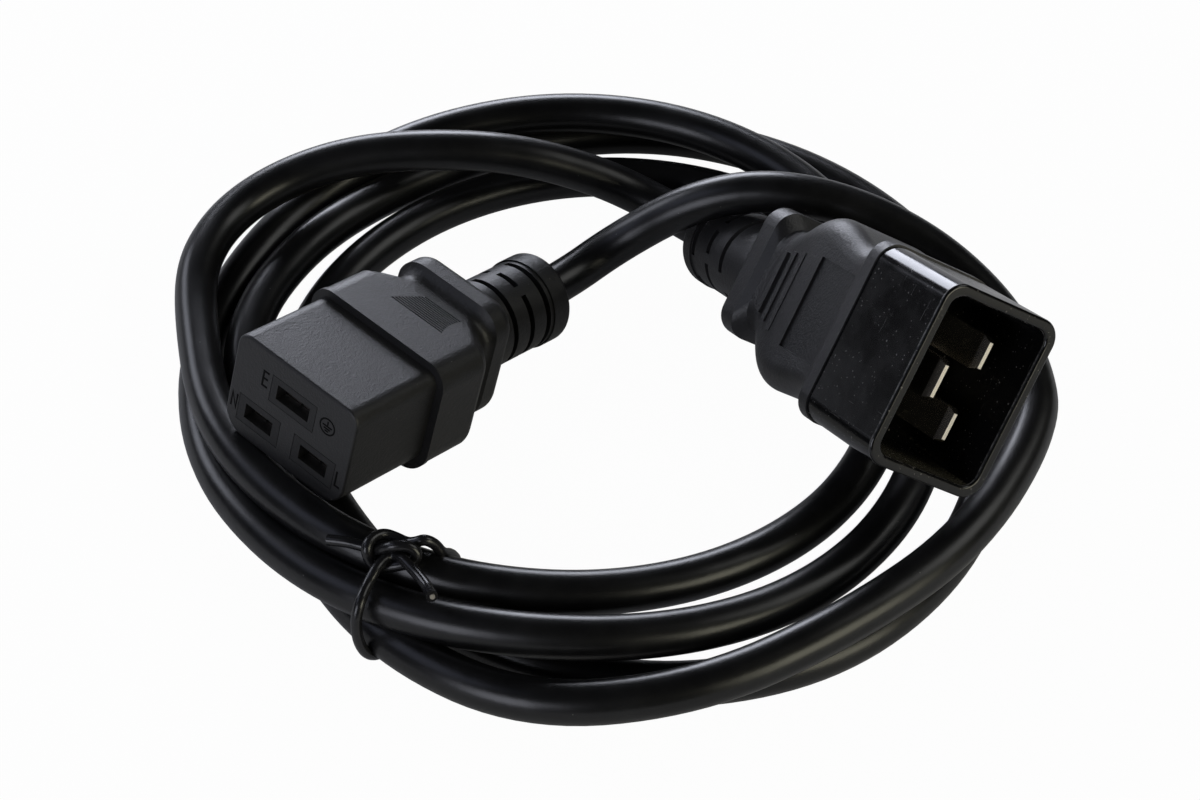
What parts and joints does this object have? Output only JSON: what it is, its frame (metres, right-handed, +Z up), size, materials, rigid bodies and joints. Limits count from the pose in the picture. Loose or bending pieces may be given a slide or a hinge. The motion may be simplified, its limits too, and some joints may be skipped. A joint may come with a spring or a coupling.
{
  "type": "power connector on a coiled cord",
  "caption": "Female appliance connector with three flat slots on a coiled round cord that ends in a shrouded male plug.",
  "frame": {"origin": "middle of the female connector's mating face", "axes": "+X along the floor from the mating face towards the cord, +Y towards the neutral slot, +Z up from the floor"},
  "size_m": [0.1481, 0.1543, 0.0572],
  "materials": {
    "soft_moulding": "fine matte grain",
    "hard_insert": "satin",
    "glossy_shroud": "polished, lightly scuffed",
    "cord_jacket": "satin",
    "plated_contact": "nickel plated",
    "copper_wire": "drawn",
    "brown_core": "smooth",
    "blue_core": "smooth",
    "green_core": "smooth",
    "inner_moulding": "natural",
    "tie_covering": "smooth",
    "tie_metal": "bright cut end"
  },
  "bodies": {
    "root": {"c19_housing": "soft_moulding", "c19_carrier": "hard_insert", "c19_inner_mould": "inner_moulding", "c20_housing": "soft_moulding", "c20_shroud": "glossy_shroud", "c20_inner_mould": "inner_moulding", "c19_contact_line": "plated_contact", "c19_core_line": "brown_core", "c19_conductor_line": "copper_wire", "c20_pin_line": "plated_contact", "c20_core_line": "brown_core", "c20_conductor_line": "copper_wire", "c19_contact_neutral": "plated_contact", "c19_core_neutral": "blue_core", "c19_conductor_neutral": "copper_wire", "c20_pin_neutral": "plated_contact", "c20_core_neutral": "blue_core", "c20_conductor_neutral": "copper_wire", "c19_contact_earth": "plated_contact", "c19_core_earth": "green_core", "c19_conductor_earth": "copper_wire", "c20_pin_earth": "plated_contact", "c20_core_earth": "green_core", "c20_conductor_earth": "copper_wire", "cord_lead_c19": "cord_jacket", "cord_coil": "cord_jacket", "cord_lead_c20": "cord_jacket", "tie_wire": "tie_covering", "tie_conductor": "tie_metal"}
  },
  "joints": []
}
